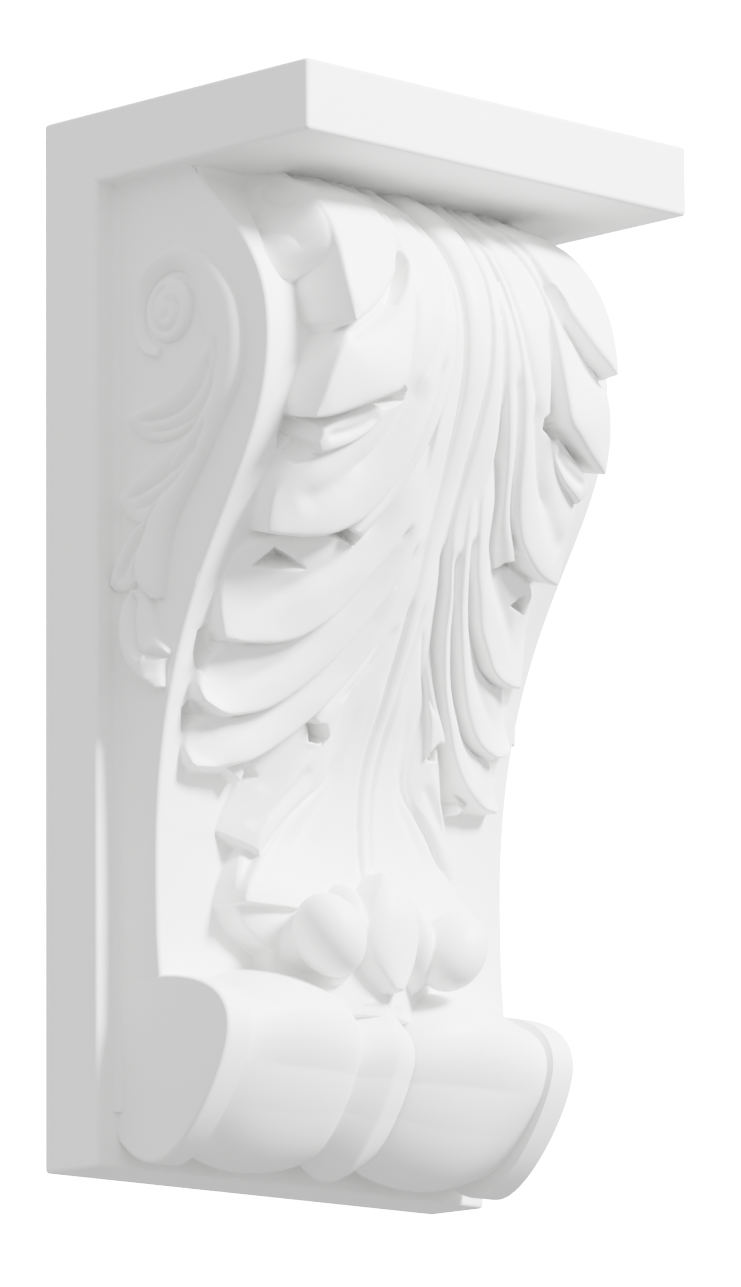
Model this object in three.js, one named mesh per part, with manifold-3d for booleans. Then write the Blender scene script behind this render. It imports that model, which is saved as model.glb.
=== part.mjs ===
import * as THREE from 'three';
import { mergeVertices } from 'three/addons/utils/BufferGeometryUtils.js';
import Module from 'manifold-3d';

// A moulded acanthus corbel, cast in one piece: back plate, top slab, S body ending in a
// bolster roll, a leaf down its front and a scroll on each cheek. Millimetres, +Z up, the
// front faces -Y, and the origin is the centre of the back face.

// Plate and slab
const height = 300;
const width = 153;
const plateThickness = 21.7;
const slabThickness = 20.6;
const slabDepth = 107;
const edgeChamfer = 1.2;

// S body, as depths from the wall and heights from the bottom
const bodyWidth = 137.2;
const throatDepth = 54.6;
const browDepth = 83;
const browHeight = 228.2;
const waistDepth = 37.6;
const waistHeight = 84.8;

// Bolster roll at the foot: its side outline, then the belt, the necks and the plain rims
const rollTop = 52.8;
const rollDepth = 66;
const rollNoseHeight = 36.5;
const rollClearance = 0.6;
const rollHeel = 7;
const beltWidth = 21.4;
const beltNotch = 6.4;
const neckDip = 2.4;
const neckUndercut = 3.6;
const rimWidth = 9.6;
const rimStep = 0.6;

// How far the roll's two swellings and its belt stand off the side outline, at five even
// steps from its underside to its top
const swellings = [0, -1.6, -2.2, 1, 5.1];
const beltSinks = [0, -2.2, -3.2, -2.2, 0];

// Carving on the front: half the leaf's width, and how far it stands out
const leafHalfWidth = 60;
const leafRelief = 20;

// Carving on the cheeks: its length up the cheek, its width and how far it stands out
const cheekLength = 126;
const cheekWidth = 56;
const cheekRelief = 5;
const cheekTop = 258;
const cheekFront = 76;

// How finely the curves are divided, and where a lobe's section has its points
const bodySteps = 12;
const lobeSteps = 10;
const rollSteps = 6;
const bandSteps = 15;
const frondSteps = 5;
const ridgeTurns = 5;
const leafShares = [0, 0.1, 0.4, 0.75, 1];
const cheekShares = [0, 0.25, 0.65, 1];

// The leaf is drawn on a sheet: across from the centre line, down from the slab, and up
// from the S surface. The sheet is then stretched to the sizes above.
const sheet = { halfWidth: 60, length: 245.4, relief: 20 };
const buried = 3;
const draft = 0.12;
const edgeRound = 0.9;

const underside = height - slabThickness;
const halfBody = bodyWidth / 2;
const footDepth = waistDepth + 1.3;
const wasm = await Module();
wasm.setup();

// The S line of the front, from the slab down to the roll
function frontLine() {
  const brow = underside - browHeight;
  const swell = browDepth - throatDepth;
  const fall = browHeight - waistHeight;
  const foot = waistHeight - rollTop;
  const path = new THREE.CurvePath();
  path.add(new THREE.CubicBezierCurve(
    new THREE.Vector2(throatDepth, underside),
    new THREE.Vector2(throatDepth + swell * 0.19, underside - brow * 0.26),
    new THREE.Vector2(browDepth, underside - brow * 0.43),
    new THREE.Vector2(browDepth, browHeight),
  ));
  path.add(new THREE.CubicBezierCurve(
    new THREE.Vector2(browDepth, browHeight),
    new THREE.Vector2(browDepth, browHeight - fall * 0.3),
    new THREE.Vector2(waistDepth, browHeight - fall * 0.4),
    new THREE.Vector2(waistDepth, waistHeight),
  ));
  path.add(new THREE.CubicBezierCurve(
    new THREE.Vector2(waistDepth, waistHeight),
    new THREE.Vector2(waistDepth, waistHeight - foot * 0.34),
    new THREE.Vector2(waistDepth, waistHeight - foot * 0.68),
    new THREE.Vector2(footDepth, rollTop),
  ));
  path.arcLengthDivisions = 400;
  return path;
}

const front = frontLine();
const frontLength = front.getLength();

// The roll's outline seen from the side, from the top of its nose round to the plate
function rollLine() {
  const tail = new THREE.Vector2(plateThickness, rollClearance + rollHeel);
  const low = new THREE.Vector2(rollDepth * 0.55, rollClearance);
  const nose = new THREE.Vector2(rollDepth, rollNoseHeight);
  const top = new THREE.Vector2(footDepth, rollTop);
  const path = new THREE.CurvePath();
  path.add(new THREE.CubicBezierCurve(
    top,
    new THREE.Vector2(rollDepth * 0.78, rollTop - 1),
    new THREE.Vector2(rollDepth, rollNoseHeight + 12),
    nose,
  ));
  path.add(new THREE.CubicBezierCurve(
    nose,
    new THREE.Vector2(rollDepth, rollNoseHeight - 11),
    new THREE.Vector2(rollDepth * 0.72, rollClearance),
    low,
  ));
  path.add(new THREE.CubicBezierCurve(
    low,
    new THREE.Vector2(rollDepth * 0.46, rollClearance),
    new THREE.Vector2(plateThickness + 4, rollClearance + 3),
    tail,
  ));
  return [top, ...path.curves.flatMap((curve) => curve.getPoints(rollSteps).slice(1))];
}

// A point of the sheet as a point in space: u across, v down the front, h off the surface
function onFront(u, v, h) {
  const share = v / sheet.length;
  const inside = THREE.MathUtils.clamp(share, 0, 1);
  const place = front.getPointAt(inside);
  const along = front.getTangentAt(THREE.MathUtils.clamp(inside, 0.002, 0.998));
  const over = (share - inside) * frontLength;
  const lift = h * leafRelief / sheet.relief;
  const depth = place.x + along.x * over - along.y * lift;
  const level = place.y + along.y * over + along.x * lift;
  return new THREE.Vector3(u * leafHalfWidth / sheet.halfWidth, -depth, level - height / 2);
}

// A point of the right cheek: d and z as drawn on the side view, h out of the cheek
const cheekSheet = { front: 76, top: 258, width: 56, length: 126, relief: 5 };

function onCheek(d, z, h) {
  const depth = cheekFront + (d - cheekSheet.front) * cheekWidth / cheekSheet.width;
  const level = cheekTop + (z - cheekSheet.top) * cheekLength / cheekSheet.length;
  const out = halfBody + h * cheekRelief / cheekSheet.relief;
  return new THREE.Vector3(out, -depth, level - height / 2);
}

// A solid from a geometry with merged vertices
function solid(geometry) {
  const bare = geometry.index ? geometry.toNonIndexed() : geometry.clone();
  bare.deleteAttribute('normal');
  bare.deleteAttribute('uv');
  const merged = mergeVertices(bare, 1e-4);
  return new wasm.Manifold(new wasm.Mesh({
    numProp: 3,
    vertProperties: new Float32Array(merged.attributes.position.array),
    triVerts: new Uint32Array(merged.index.array),
  }));
}

// A closed skin over rings of points that all run the same way round
function skin(rings) {
  const size = rings[0].length;
  const points = rings.flat();
  const faces = [];
  for (let ring = 0; ring + 1 < rings.length; ring += 1) {
    for (let k = 0; k < size; k += 1) {
      const a = ring * size + k;
      const b = ring * size + (k + 1) % size;
      faces.push(a, b, b + size, a, b + size, a + size);
    }
  }
  [0, rings.length - 1].forEach((ring) => {
    const middle = new THREE.Vector3();
    rings[ring].forEach((point) => middle.addScaledVector(point, 1 / size));
    points.push(middle);
    for (let k = 0; k < size; k += 1) {
      const a = ring * size + k;
      const b = ring * size + (k + 1) % size;
      const centre = points.length - 1;
      faces.push(...(ring === 0 ? [centre, b, a] : [centre, a, b]));
    }
  });
  const geometry = new THREE.BufferGeometry().setFromPoints(points);
  geometry.setIndex(faces);
  const made = solid(geometry);
  if (made.volume() > 0) return made;
  const flipped = new THREE.BufferGeometry().setFromPoints(points);
  flipped.setIndex(faces.slice().reverse());
  return solid(flipped);
}

// A lobe of carving between two edges drawn on a sheet. Each edge is a list of points
// [across, along, height]; belly bulges the face between them.
function lobe(place, { low, high, belly = 0 }, steps, shares) {
  const lowLine = new THREE.CatmullRomCurve3(low.map((p) => new THREE.Vector3(...p)));
  const highLine = new THREE.CatmullRomCurve3(high.map((p) => new THREE.Vector3(...p)));
  const rings = [];
  for (let step = 0; step <= steps; step += 1) {
    const a = lowLine.getPointAt(step / steps);
    const b = highLine.getPointAt(step / steps);
    const across = new THREE.Vector2(b.x - a.x, b.y - a.y);
    const gap = Math.max(across.length(), 1e-6);
    const way = across.clone().divideScalar(gap);
    const reach = Math.min(1, gap / 6);
    const ring = [];
    ring.push(place(a.x - way.x * draft * a.z, a.y - way.y * draft * a.z, -buried));
    shares.forEach((share) => {
      const round = share === 0 ? edgeRound * reach : 0;
      const rise = belly * reach * Math.sin(Math.PI * Math.sqrt(share));
      const drop = THREE.MathUtils.lerp(a.z, b.z, share);
      ring.push(place(
        a.x + across.x * share,
        a.y + across.y * share,
        Math.max(drop + rise - round, 0.2),
      ));
    });
    ring.push(place(b.x + way.x * draft * b.z, b.y + way.y * draft * b.z, -buried));
    rings.push(ring);
  }
  return skin(rings);
}

// One of the two bulbs beside the pod, an egg that leans outward going up, and the root
// that holds it from behind. Each is [across, along, out of the S surface] with its radii.
const bulbLean = 0.5;
const bulbs = [
  { u: 23.6, v: 233.2, h: 21.6, long: 12.6, wide: 11, tall: 11.4 },
  { u: 22.4, v: 233.2, h: 8, long: 9.6, wide: 8.4, tall: 17 },
];

function bulb({ u, v, h, long, wide, tall }) {
  const place = onFront(u, v, h);
  const right = onFront(u + 1, v, h).sub(place).normalize();
  const up = onFront(u, v - 1, h).sub(place).normalize();
  const out = onFront(u, v, h + 1).sub(place).normalize();
  const along = right.multiplyScalar(Math.sin(bulbLean)).addScaledVector(up, Math.cos(bulbLean));
  const aside = out.clone().cross(along);
  along.multiplyScalar(long);
  aside.multiplyScalar(wide);
  out.multiplyScalar(tall);
  const egg = new THREE.SphereGeometry(1, 10, 7);
  egg.applyMatrix4(new THREE.Matrix4().makeBasis(along, aside, out).setPosition(place));
  return solid(egg);
}

function mirrored(piece) {
  return piece.mirror([1, 0, 0]);
}

// Side outlines are drawn with depth to the right and height up, then stood on edge
function acrossTheWidth(shape, span, chamfer) {
  const geometry = new THREE.ExtrudeGeometry(shape, {
    depth: span - 2 * chamfer,
    bevelEnabled: chamfer > 0,
    bevelThickness: chamfer,
    bevelSize: chamfer,
    bevelOffset: -chamfer,
    bevelSegments: 1,
    curveSegments: 4,
  });
  const stand = new THREE.Matrix4().makeBasis(
    new THREE.Vector3(0, -1, 0),
    new THREE.Vector3(0, 0, 1),
    new THREE.Vector3(-1, 0, 0),
  );
  stand.setPosition(span / 2 - chamfer, 0, -height / 2);
  return solid(geometry.applyMatrix4(stand));
}

// Back plate and slab, one L seen from the side, with its front corners eased
function plateAndSlab() {
  const c = edgeChamfer;
  const outline = new THREE.Shape([
    new THREE.Vector2(0, 0),
    new THREE.Vector2(plateThickness - c, 0),
    new THREE.Vector2(plateThickness, c),
    new THREE.Vector2(plateThickness, underside),
    new THREE.Vector2(slabDepth - c, underside),
    new THREE.Vector2(slabDepth, underside + c),
    new THREE.Vector2(slabDepth, height - c),
    new THREE.Vector2(slabDepth - c, height),
    new THREE.Vector2(0, height),
  ]);
  return acrossTheWidth(outline, width, c);
}

// The S body between its cheeks, running a little into the plate, the slab and the roll
function sBody() {
  const inside = 2;
  const points = front.curves.flatMap((curve) => curve.getPoints(bodySteps));
  const foot = rollTop * 0.5;
  const outline = new THREE.Shape([
    new THREE.Vector2(plateThickness - inside, underside + inside),
    new THREE.Vector2(throatDepth, underside + inside),
    ...points.filter((point, k) => k === 0 || point.distanceTo(points[k - 1]) > 0.01),
    new THREE.Vector2(footDepth, foot),
    new THREE.Vector2(plateThickness - inside, foot),
  ]);
  return acrossTheWidth(outline, bodyWidth, 0);
}

const beltEdge = beltWidth / 2;
const rimEdge = halfBody - rimWidth;

// A value of a list of five at a lift, which runs from -1 at the roll's underside to 1 at
// its top
function atLift(values, lift) {
  const place = (lift + 1) * 2;
  const k = Math.min(Math.floor(place), values.length - 2);
  return THREE.MathUtils.lerp(values[k], values[k + 1], place - k);
}

// How far the roll stands off its side outline, at a place across it and at a lift
function rollOffset(x, lift) {
  const sink = atLift(beltSinks, lift);
  const dip = -(neckDip + neckUndercut * Math.max(-lift, 0));
  if (x <= beltEdge) return sink - beltNotch * (x / beltEdge) ** 1.2;
  if (x <= rimEdge) {
    const share = (x - beltEdge) / (rimEdge - beltEdge);
    const floor = THREE.MathUtils.lerp(sink - beltNotch, dip, share);
    const power = share < 0.5 ? 0.6 : 1;
    return floor + (atLift(swellings, lift) - floor) * Math.sin(Math.PI * share) ** power;
  }
  return dip * (1 - Math.min(1, (x - rimEdge) / rimStep));
}

function roll() {
  const centre = new THREE.Vector2(rollDepth * 0.66, rollTop * 0.52);
  const reach = rollDepth - centre.x + beltNotch;
  const inside = plateThickness - 2;
  const line = rollLine();
  const stations = [0, beltEdge * 0.5, beltEdge];
  [0.05, 0.2, 0.5, 0.8, 0.95, 1].forEach((share) => {
    stations.push(THREE.MathUtils.lerp(beltEdge, rimEdge, share));
  });
  stations.push(rimEdge + rimStep, halfBody);
  const all = [...stations.slice(1).reverse().map((x) => -x), ...stations];
  const rings = all.map((x) => {
    const ring = line.map((point) => {
      const away = point.clone().sub(centre);
      const lift = THREE.MathUtils.clamp(away.y / (rollTop - centre.y), -1, 1);
      const moved = away.multiplyScalar(1 + rollOffset(Math.abs(x), lift) / reach).add(centre);
      return new THREE.Vector3(x, -moved.x, moved.y - height / 2);
    });
    ring.push(new THREE.Vector3(x, -inside, rollClearance + 2 * rollHeel - height / 2));
    ring.push(new THREE.Vector3(x, -inside, rollTop - height / 2));
    return ring;
  });
  return skin(rings);
}

// The leaf's lobes from the slab downwards, right half. Each has its low edge, which is
// its proud rim, and its high edge, which runs out under the lobe above it.
const lobes = [
  // Shoulder flank
  {
    low: [[42, -4, 6], [45, 10, 9], [48, 20, 12], [51, 28, 13.8], [52.4, 36, 14.6], [53, 43, 13.4]],
    high: [[50, -4, 0.5], [53, 12, 0.5], [58, 27, 0.5], [61, 36, 0.5], [60.5, 40, 0.5],
      [57, 44.8, 0.5]],
    belly: 3,
  },
  // First lobe
  {
    low: [[24, -4, 8], [27, 14, 12], [28.5, 28, 16.5], [30, 39.5, 18.6], [34, 46, 19],
      [40, 51.5, 19], [46, 55.8, 19], [52.5, 59, 18.6]],
    high: [[45, -4, 6], [48, 10, 10], [50.4, 20, 13.6], [52, 30, 16.2], [53.2, 40, 17.4],
      [54, 48, 17.6], [53.6, 54, 18.2], [52.8, 58.5, 18.6]],
    belly: 0.8,
  },
  // Second lobe
  {
    low: [[16, -4, 8], [20, 14, 11.5], [24, 30, 15.8], [26.4, 45, 18], [29.4, 60, 18.8],
      [33.5, 71.3, 19.6], [38, 73.6, 18.4], [45, 76.8, 16], [52, 79.8, 14], [58, 81.4, 12.3]],
    high: [[28, -4, 7], [30, 14, 11], [32, 30, 14.5], [34, 40, 14.5], [38, 48, 14.5],
      [43, 53.5, 14], [49, 58.5, 14], [53, 63, 14.4], [56.2, 71, 13.6], [58.2, 80.8, 12.3]],
    belly: 1,
  },
  // Leaflet of the third lobe
  {
    low: [[30, 68, 13], [34.5, 78.6, 13.6], [41, 84.6, 12.8], [48, 88.2, 12], [52.4, 90.4, 10.8]],
    high: [[36, 66, 12], [41, 76, 12], [49, 81, 12], [54, 85, 11.5], [55.2, 88, 10.5]],
    belly: 0.6,
  },
  // Third lobe
  {
    low: [[12, -4, 8], [12.5, 14, 11.5], [12, 30, 15], [12, 42, 17.2], [13, 52, 17.4],
      [15.5, 62, 16.6], [19, 76, 15.8], [23, 90, 15.8], [29, 101, 16.2], [34.7, 106, 16.4],
      [42, 110.5, 15.6], [50, 113.2, 12.8], [57.3, 114.6, 9]],
    high: [[20, -4, 7.5], [22, 14, 11.4], [24, 30, 15.2], [26, 42, 17.2], [28.6, 56, 17.2],
      [33, 68, 14], [38, 77, 12], [43, 83, 11], [48, 88, 10.4], [54, 92, 9], [58.6, 102, 6.5],
      [58.4, 112, 8]],
    belly: 1,
  },
  // Flute beside the third lobe
  {
    low: [[10, 42, 15.6], [10.4, 52, 16.4], [11.5, 66, 15.4], [14.4, 78, 15.2], [17.8, 88, 15],
      [22.4, 101, 14.8], [28.4, 113, 14.2]],
    high: [[13, 42, 16.4], [14.6, 54, 16.8], [17, 66, 16], [19.5, 78, 15.6], [23.4, 90, 15.6],
      [28, 101, 15.8], [32, 108, 15.4]],
    belly: 0.3,
  },
  // Fourth lobe
  {
    low: [[9, 84, 11.6], [12, 98, 15], [16.7, 112, 17], [20.6, 119, 17.5], [26.4, 130, 17.4],
      [31.8, 136.4, 16.9], [38.6, 143, 15.3], [46, 146.4, 12.9], [52, 147.6, 10.2],
      [58.3, 147.9, 7.5]],
    high: [[15, 82, 11.6], [21, 94, 12.4], [30, 106, 11], [36, 111, 9.5], [44, 114, 8],
      [52, 117, 5.5], [58.5, 123, 1.5], [60.5, 131, 1], [60.6, 139, 3.6], [59.2, 147, 7.2]],
    belly: 0.8,
  },
  // Fifth lobe
  {
    low: [[7.4, 84, 10.6], [8, 97, 14], [10.2, 112, 18], [14, 124, 19], [18, 133, 19.1],
      [23.2, 143.7, 18.5], [31, 156, 16], [40.5, 165.4, 13], [50, 169.4, 10.4],
      [55, 169.6, 9], [59.6, 167.4, 8]],
    high: [[11, 84, 11], [13.6, 97, 14], [18.5, 110, 14.4], [24, 121, 14], [31, 132, 12.6],
      [38, 139.6, 10.4], [46, 144, 8], [54, 148, 4.8], [59.3, 156, 2], [61.6, 162, 3.6],
      [60.8, 166.8, 7]],
    belly: 0.8,
  },
  // Sixth lobe
  {
    low: [[8.6, -4, 7.4], [8.4, 20, 12], [7.4, 36, 14.6], [6.4, 48, 15.4], [5.8, 62, 14],
      [5.2, 74, 12.2], [4.6, 88, 11.6], [4.4, 98, 12.6], [5.4, 108, 15.4], [8.4, 119, 18.2],
      [13, 139, 19.7], [18.5, 152, 18.8], [24.6, 162.5, 17.2], [30.8, 171, 14.5],
      [37.8, 178, 12.2], [44, 182.4, 10.6], [52, 185.4, 7.6], [59.8, 186, 5.4]],
    high: [[12.5, -4, 7.6], [13, 20, 12.4], [12, 36, 15], [11.4, 48, 16], [11.4, 62, 15],
      [12, 74, 13.8], [12.6, 88, 13.8], [13, 98, 14.8], [14, 106, 16], [16.6, 119, 17],
      [22, 135, 16], [28, 147, 13.6], [35, 157, 11.4], [43, 164, 8.6], [52, 168, 5.4],
      [60, 174.4, 1.6], [61.8, 180, 1.6], [60.8, 185.2, 5]],
    belly: 0.6,
  },
  // Inner fold of the sixth lobe
  {
    low: [[8, 134, 15], [11, 146, 16.6], [15.4, 156, 16.8], [18.8, 167, 16.2], [20, 173.4, 15.4]],
    high: [[14, 134, 16], [18, 148, 17], [22, 158, 17], [24.4, 163.4, 16.8], [25.6, 167, 16.2]],
    belly: 0.2,
  },
  // Tooth of the seventh lobe
  {
    low: [[30, 166, 8], [36, 175, 7.6], [41, 182, 7], [43, 188.6, 6]],
    high: [[34, 163, 8], [41, 171, 7.6], [46, 178, 7], [49, 184, 6]],
  },
  // Seventh lobe, outer slope
  {
    low: [[16, 158, 14.6], [20, 168, 14.6], [23.5, 176, 14], [28, 185, 12.6], [31, 191, 11.6],
      [37, 203, 9.8], [38.4, 208.4, 9.3]],
    high: [[26, 152, 8], [31, 164, 7], [35, 174, 4.6], [38.6, 183, 2.2], [41.8, 191, 0.9],
      [45.2, 198.5, 0.8], [46.6, 202.6, 0.8]],
    belly: 1,
  },
  // Seventh lobe, inner slope
  {
    low: [[13, 158, 13], [14.6, 172, 12], [16, 181, 11.3], [19.4, 187, 10.8], [25, 194, 10.2],
      [32, 202, 9.6], [37.8, 209, 9]],
    high: [[16.2, 158, 14.6], [20.2, 168, 14.6], [23.7, 176, 14], [28.2, 185, 12.6],
      [31.2, 191, 11.6], [36.6, 202.4, 9.9], [38.6, 208, 9.4]],
    belly: 0.4,
  },
  // End lobe over the foot
  {
    low: [[0, -4, 6], [0, 20, 11], [0, 36, 13], [0, 48, 13.6], [0, 62, 12], [0, 75, 10],
      [0, 89, 9.6], [0, 104, 11.8], [0, 120, 15.4], [0, 140, 17], [0, 159, 15.8], [0, 172, 13],
      [0, 184, 11.4], [0, 197, 11.6], [0, 212, 13], [0, 224, 13.4]],
    high: [[9, -4, 6.6], [10.5, 20, 11], [10, 45, 12.6], [9, 64, 11], [8.4, 82, 10],
      [8.4, 100, 12.4], [10, 119, 15], [14.6, 139, 15.6], [18, 155, 14.2], [17.6, 170, 12.4],
      [19, 183, 11], [26, 194.6, 10], [34.6, 206, 9.6], [41, 214, 11], [45.2, 219.6, 12.6],
      [46.4, 224, 13]],
    belly: 0.6,
  },
  // Back leaf
  {
    low: [[8, 212, 10], [12, 219, 11.6], [18, 226, 12], [24, 232, 10.6], [30, 237, 8]],
    high: [[38, 204, 4], [43, 212, 6.6], [45.6, 219, 8.4], [45.8, 225.4, 8.6], [42, 230, 7.4],
      [35, 234.6, 6]],
    belly: 0.6,
  },
  // Stem below the back leaf
  {
    low: [[0, 212, 11], [0, 226, 16.6], [0, 240, 19.6], [0, 256, 20]],
    high: [[30, 214, 5], [32, 227, 6.4], [32, 238, 6.5], [33, 254, 6]],
    belly: 1,
  },
];

function leafHalf() {
  return lobes.map((drawn) => lobe(onFront, drawn, lobeSteps, leafShares));
}

// Ridges down the middle: the leaf's midrib, the pod at its foot, pointed above and below,
// and the neck behind the pod that runs into the roll's belt. Each row is [along, half
// width, height of its crest].
const midribRows = [
  [-4, 7.6, 8.6], [25, 6.2, 15.6], [46, 4.9, 17.6], [62, 4.2, 15.8], [74, 3.6, 13.4],
  [88, 3.1, 12.2], [101, 2.6, 13.4], [120, 2.2, 16.8], [138, 2, 18.4], [157, 2, 17.2],
  [184, 1.9, 12.8], [198, 1.8, 13], [218, 1.6, 14.6],
];
const podRows = [
  [211.6, 0.6, 21], [215, 3.6, 24.4], [219, 6.4, 26.8], [225, 8.8, 28.2], [231, 9.4, 28.2],
  [237, 8.6, 27.6], [242, 6.8, 26.8], [246, 4.2, 26.2], [249, 1.8, 25.6],
];
const neckRows = [[232, 8, 16], [242, 9, 18.5], [252, 10.4, 20]];
const ridgeFlatness = 0.6;

function ridge(rows) {
  return skin(rows.map(([v, wide, tall]) => {
    const ring = [];
    const crown = wide * ridgeFlatness;
    for (let k = 0; k <= ridgeTurns; k += 1) {
      const turn = Math.PI * k / ridgeTurns;
      ring.push(onFront(wide * Math.cos(turn), v, tall - crown + crown * Math.sin(turn)));
    }
    ring.push(onFront(-wide, v, 0));
    ring.push(onFront(wide, v, 0));
    return ring;
  }));
}

// The scroll on a cheek: its band, the coil it ends in, three fronds and a bud below
const cheekBand = {
  low: [[41.2, 158.2, 1.6], [42.2, 165, 1.6], [44, 173, 1.6], [47, 180.2, 1.6],
    [52.4, 187.4, 1.6], [58.7, 195.5, 1.6], [63.5, 202.4, 1.6], [68.3, 209.3, 1.6],
    [72.1, 215, 1.6], [73.8, 222.4, 1.6], [73.6, 231.4, 1.6], [71.2, 239.5, 1.6],
    [66, 247, 1.6], [58.6, 253.8, 1.8], [50.4, 257.2, 2], [42.2, 256.2, 2],
    [35.6, 252.4, 2], [31.8, 246.6, 1.8], [30.6, 240, 1.6], [31.4, 233.6, 1.6],
    [34.6, 228.8, 1.5], [39.6, 226.8, 1.4]],
  high: [[38.4, 158, 3], [33.6, 163.8, 4.6], [33.6, 171, 5.2], [37, 180.4, 5.4],
    [43, 188.2, 5.2], [49, 195, 5], [55, 201, 5], [60, 207.5, 5],
    [63, 214.5, 4.6], [63.4, 222, 4], [60.6, 230, 3], [57.6, 237, 2], [55, 243.4, 1.2],
    [51.4, 248.4, 0.6], [46.4, 250.6, 0.6], [41.6, 250, 0.6], [37.2, 247.4, 0.6],
    [34.6, 243.6, 0.6], [34, 239, 0.6], [35, 234.6, 0.6], [37.2, 231.6, 0.6],
    [40.4, 229.8, 0.6]],
  belly: 1.6,
};

const fronds = [
  {
    low: [[61, 231, 1], [57.6, 222.6, 3.4], [52.4, 216.8, 4.4], [45, 213.6, 4.4], [37, 212.4, 4],
      [29.5, 211.6, 3.2]],
    high: [[66, 225, 1.6], [62.4, 215, 1.8], [56, 207.4, 1.8], [47, 203, 1.8],
      [36.3, 203.4, 1.8], [31, 206.4, 2]],
    belly: 1,
  },
  {
    low: [[65, 219, 1.6], [60.4, 208, 3.4], [54, 201.5, 4.4], [46, 198.4, 4.4], [36, 194.4, 4],
      [26.1, 188.8, 3.2]],
    high: [[60, 206, 1.4], [50.6, 192, 1.6], [42.4, 182, 1.6], [35.6, 179, 1.6],
      [30.6, 180.6, 1.8], [27, 183.6, 2]],
    belly: 1,
  },
  {
    low: [[47, 190, 1.1], [41.6, 182.6, 3.5], [33.5, 178, 4.4], [27, 172.2, 4],
      [21.9, 164.5, 3]],
    high: [[38, 182, 1.4], [34, 172.4, 1.6], [31.4, 164.4, 1.6], [27, 161.8, 1.8],
      [22.8, 162.6, 2]],
    belly: 1,
  },
  {
    low: [[31, 161.6, 1.6], [27.4, 157, 2], [26, 149.7, 2.2], [28.2, 141.7, 2.2],
      [33.3, 136.5, 2.2], [39.8, 132.2, 2]],
    high: [[36.4, 160, 1.6], [38.2, 154.5, 2], [40.4, 147.6, 2.2], [44.2, 142.6, 2.2],
      [42.4, 139.6, 2.2], [41.6, 133, 2]],
    belly: 3,
  },
];

// A low dome, as its rings from the edge inwards: [share of the radius, height]
const coilPlace = { d: 44.4, z: 239.8, wide: 9, tall: 9.3 };
const coilRings = [[1, -3], [1, 0.9], [0.8, 2.5], [0.4, 3.3], [0.1, 3.5]];

function cheekCoil() {
  const turns = 12;
  const { d, z, wide, tall } = coilPlace;
  return skin(coilRings.map(([share, rise]) => {
    const ring = [];
    for (let k = 0; k < turns; k += 1) {
      const angle = Math.PI * 2 * k / turns;
      ring.push(onCheek(d + wide * share * Math.cos(angle), z + tall * share * Math.sin(angle), rise));
    }
    return ring;
  }));
}

function cheekCarving() {
  return [
    lobe(onCheek, cheekBand, bandSteps, cheekShares),
    cheekCoil(),
    ...fronds.map((drawn) => lobe(onCheek, drawn, frondSteps, cheekShares)),
  ];
}

function corbelSolid() {
  const rightSide = [
    ...leafHalf(),
    ...cheekCarving(),
    ...bulbs.map(bulb),
  ];
  const pieces = [
    plateAndSlab(),
    sBody(),
    roll(),
    ridge(midribRows),
    ridge(podRows),
    ridge(neckRows),
    ...rightSide,
    ...rightSide.map(mirrored),
  ];
  return pieces.reduce((whole, piece) => whole.add(piece));
}

function corbelMesh() {
  const { vertProperties, triVerts } = corbelSolid().getMesh();
  const geometry = new THREE.BufferGeometry();
  geometry.setAttribute('position', new THREE.BufferAttribute(new Float32Array(vertProperties), 3));
  geometry.setIndex(Array.from(triVerts));
  geometry.computeVertexNormals();
  const material = new THREE.MeshStandardMaterial({ color: 0xf2f2f0, roughness: 0.55, metalness: 0 });
  const mesh = new THREE.Mesh(geometry, material);
  mesh.name = 'corbel';
  return mesh;
}

const group = new THREE.Group();
group.add(corbelMesh());

export default group;
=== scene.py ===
import bmesh
import bpy
import numpy as np
from mathutils import Matrix, Vector

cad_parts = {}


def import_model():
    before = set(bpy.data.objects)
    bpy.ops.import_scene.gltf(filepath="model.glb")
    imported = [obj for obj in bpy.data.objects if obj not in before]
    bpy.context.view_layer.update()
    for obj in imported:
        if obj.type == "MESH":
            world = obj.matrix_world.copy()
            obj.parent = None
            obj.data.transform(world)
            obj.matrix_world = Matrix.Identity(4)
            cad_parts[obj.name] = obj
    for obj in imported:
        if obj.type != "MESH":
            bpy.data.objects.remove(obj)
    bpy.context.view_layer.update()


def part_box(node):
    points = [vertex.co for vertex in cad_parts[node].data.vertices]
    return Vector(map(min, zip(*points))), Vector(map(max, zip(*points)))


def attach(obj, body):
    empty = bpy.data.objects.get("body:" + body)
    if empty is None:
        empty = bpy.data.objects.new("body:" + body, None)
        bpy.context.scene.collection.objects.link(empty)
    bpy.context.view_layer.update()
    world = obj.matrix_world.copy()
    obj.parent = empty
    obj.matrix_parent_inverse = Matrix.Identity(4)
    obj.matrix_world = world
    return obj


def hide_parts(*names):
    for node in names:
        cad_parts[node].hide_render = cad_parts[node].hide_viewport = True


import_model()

low_corner, high_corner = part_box("corbel")
HEIGHT = 300.0
UNIT = (high_corner.z - low_corner.z) / HEIGHT
WIDTH = (high_corner.x - low_corner.x) / UNIT
SLAB_DEPTH = (high_corner.y - low_corner.y) / UNIT

# Plate and slab
PLATE = 21.7
SLAB = 20.6
UNDERSIDE = HEIGHT - SLAB
EDGE_ROUND = 1.3
COVE = 2.2
COVE_LEG = 0.8
COVE_SUNK = 0.05

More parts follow.
